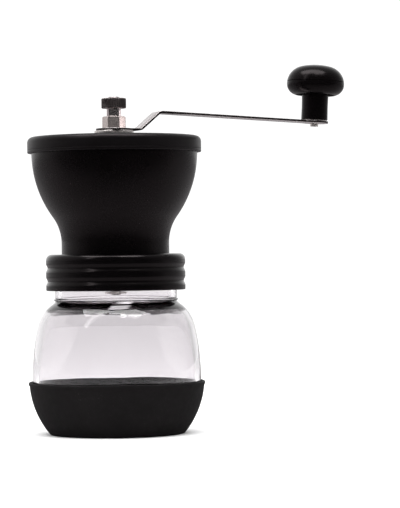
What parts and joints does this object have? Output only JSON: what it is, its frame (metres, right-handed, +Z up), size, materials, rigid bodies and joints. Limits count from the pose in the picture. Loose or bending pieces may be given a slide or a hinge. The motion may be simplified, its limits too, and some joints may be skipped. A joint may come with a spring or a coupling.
{
  "type": "hand crank coffee grinder",
  "caption": "Hand crank coffee grinder: flared black hopper with lid, steel crank and mushroom knob, conical ceramic burrs, screwed to a glass catch jar in a rubber boot.",
  "frame": {"origin": "on the grinder's axis in the plane of the boot's flat underside, which it stands on", "axes": "+Z up along the drive shaft, +X towards the crank knob at rest"},
  "size_m": [0.1835, 0.0952, 0.2012],
  "materials": {
    "clear_glass": "clear pressed glass, faint grey tint",
    "black_rubber": "matte moulded rubber, dusty",
    "silicone_seal": "translucent white silicone",
    "black_plastic_satin": "satin moulded plastic",
    "black_plastic_matte": "fine moulded texture",
    "black_lid": "soft satin",
    "black_knob": "satin, soft highlights",
    "white_bush": "acetal",
    "ceramic": "unglazed ceramic",
    "stainless_steel": "turned and brushed",
    "polished_steel": "polished strip with fine lengthwise lines",
    "dark_nickel": "knurled, nickel plated"
  },
  "bodies": {
    "jar": {"jar": "clear_glass", "boot": "black_rubber"},
    "seal": {"jar_seal": "silicone_seal"},
    "head": {"screw_collar": "black_plastic_satin", "hopper": "black_plastic_matte", "bearing_bridge": "black_plastic_matte", "upper_bush": "white_bush", "lower_bush": "white_bush", "bridge_screws": "stainless_steel", "holder_screws": "stainless_steel", "outer_burr": "ceramic", "burr_holder": "black_plastic_satin"},
    "lid": {"lid": "black_lid"},
    "shaft": {"drive_shaft": "stainless_steel", "seat_disc": "stainless_steel", "retaining_clip": "stainless_steel"},
    "burr": {"inner_burr": "ceramic", "burr_hub": "black_plastic_satin", "burr_spring": "stainless_steel", "thrust_washer": "stainless_steel"},
    "adjuster": {"adjusting_nut": "black_plastic_satin"},
    "crank": {"crank_arm": "polished_steel", "hex_boss": "stainless_steel", "knob_axle": "stainless_steel", "knob_washer": "stainless_steel"},
    "thumb_nut": {"thumb_nut": "dark_nickel"},
    "knob": {"knob_body": "black_knob", "knob_cap": "black_knob"}
  },
  "joints": [
    {"name": "jar_seal_rise", "type": "slide", "parent": "jar", "child": "seal", "axis": [0, 0, 1], "range_m": [0, 0.02]},
    {"name": "head_unscrew", "type": "hinge", "parent": "seal", "child": "head", "pos_m": [0, 0, 0.07742], "axis": [0, 0, 1], "range_deg": [0, 1440]},
    {"name": "lid_lift", "type": "slide", "parent": "head", "child": "lid", "axis": [0, 0, 1], "range_m": [0, 0.03]},
    {"name": "crank_spin", "type": "hinge", "parent": "head", "child": "shaft", "pos_m": [0, 0, 0.16203], "axis": [0, 0, 1], "continuous": true},
    {"name": "grind_gap", "type": "slide", "parent": "shaft", "child": "burr", "axis": [0, 0, -1], "range_m": [0, 0.002], "deforming": ["burr_spring"]},
    {"name": "grind_adjust", "type": "hinge", "parent": "burr", "child": "adjuster", "pos_m": [0, 0, 0.07842], "axis": [0, 0, 1], "range_deg": [0, 720]},
    {"name": "crank_lift", "type": "slide", "parent": "shaft", "child": "crank", "axis": [0, 0, 1], "range_m": [0, 0.05]},
    {"name": "thumb_nut_turn", "type": "hinge", "parent": "crank", "child": "thumb_nut", "pos_m": [0, 0, 0.17122], "axis": [0, 0, 1], "range_deg": [0, 2880]},
    {"name": "knob_spin", "type": "hinge", "parent": "crank", "child": "knob", "pos_m": [0.1189, 0, 0.16913], "axis": [0.0488, 0, 0.9988], "continuous": true}
  ],
  "couplings": [
    {"joint": "jar_seal_rise", "follows": "head_unscrew", "m_per_rad": 0.00079577},
    {"joint": "grind_gap", "follows": "grind_adjust", "m_per_rad": 0.00015915},
    {"joint": "lid_lift", "follows": "crank_lift", "ratio": 0.6}
  ]
}
